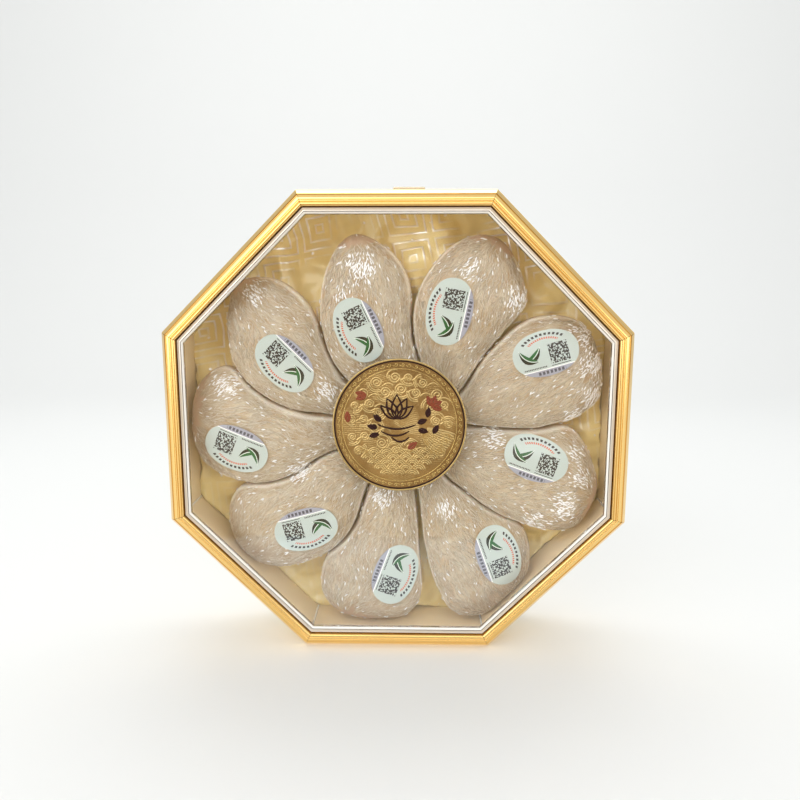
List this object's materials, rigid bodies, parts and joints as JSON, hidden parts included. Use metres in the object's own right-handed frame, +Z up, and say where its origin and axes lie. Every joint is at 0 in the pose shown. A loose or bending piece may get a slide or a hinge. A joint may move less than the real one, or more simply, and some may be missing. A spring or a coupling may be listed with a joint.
{
  "type": "boxed edible bird's nests",
  "caption": "Octagonal gold-framed gift box standing on one side, with dried edible bird's nests fixed round a gold medallion behind a clear lid.",
  "frame": {"origin": "below the middle of the box, on the surface that its lowest side stands on", "axes": "+Z up, the clear lid faces -Y, +X to the right as seen from the front"},
  "size_m": [0.27, 0.057, 0.2718],
  "materials": {
    "gold": "polished gold plating on moulded rails",
    "clear": "clear polished acrylic",
    "foil": "embossed gold foil",
    "ivory": "ivory moulded plastic",
    "satin": "pale yellow satin with an embossed key-fret weave",
    "strands": "dried translucent nest strands",
    "paper": "coated sticker paper"
  },
  "bodies": {
    "root": {"rail_top": "gold", "rail_upper_right": "gold", "rail_right": "gold", "rail_lower_right": "gold", "rail_bottom": "gold", "rail_lower_left": "gold", "rail_left": "gold", "rail_upper_left": "gold", "lid_window": "clear", "lid_tab": "clear", "medallion": "foil", "tray": "ivory", "satin_pad": "satin", "nest_1": "strands", "nest_2": "strands", "nest_3": "strands", "nest_4": "strands", "nest_5": "strands", "nest_6": "strands", "nest_7": "strands", "nest_8": "strands", "nest_9": "strands", "label_1": "paper", "label_2": "paper", "label_3": "paper", "label_4": "paper", "label_5": "paper", "label_6": "paper", "label_7": "paper", "label_8": "paper", "label_9": "paper"}
  },
  "joints": []
}
